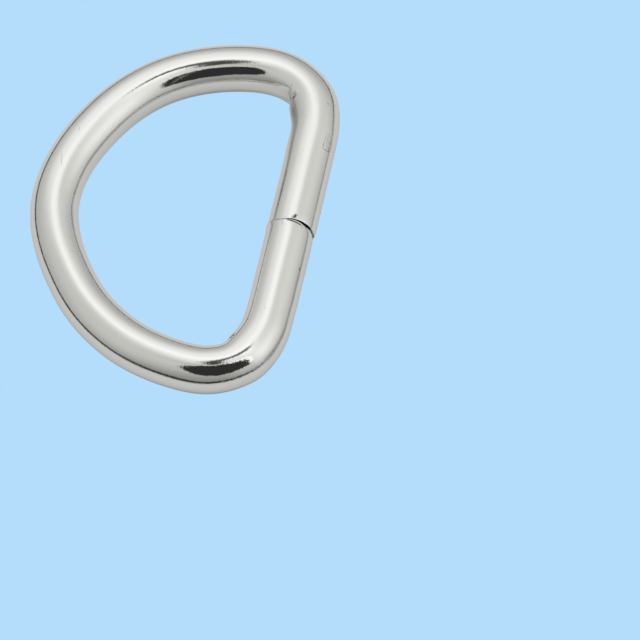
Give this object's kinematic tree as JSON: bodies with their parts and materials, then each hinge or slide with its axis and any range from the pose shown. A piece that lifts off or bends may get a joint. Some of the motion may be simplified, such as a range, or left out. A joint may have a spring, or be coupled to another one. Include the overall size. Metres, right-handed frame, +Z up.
{
  "type": "d ring",
  "caption": "D ring bent from round plated wire: a straight bar for webbing and a rounded bow for a clip or strap, butted end to end in the middle of the bar.",
  "frame": {"origin": "under the middle of the ring's outline, on the surface that it lies on", "axes": "+X along the straight bar, +Y from the bar to the crown, +Z up out of the surface"},
  "size_m": [0.0334, 0.0238, 0.004],
  "materials": {
    "nickel_plate": "bright nickel plate on steel wire, lightly scratched, with a fine orange-peel surface"
  },
  "bodies": {
    "root": {"wire_ring": "nickel_plate"}
  },
  "joints": []
}
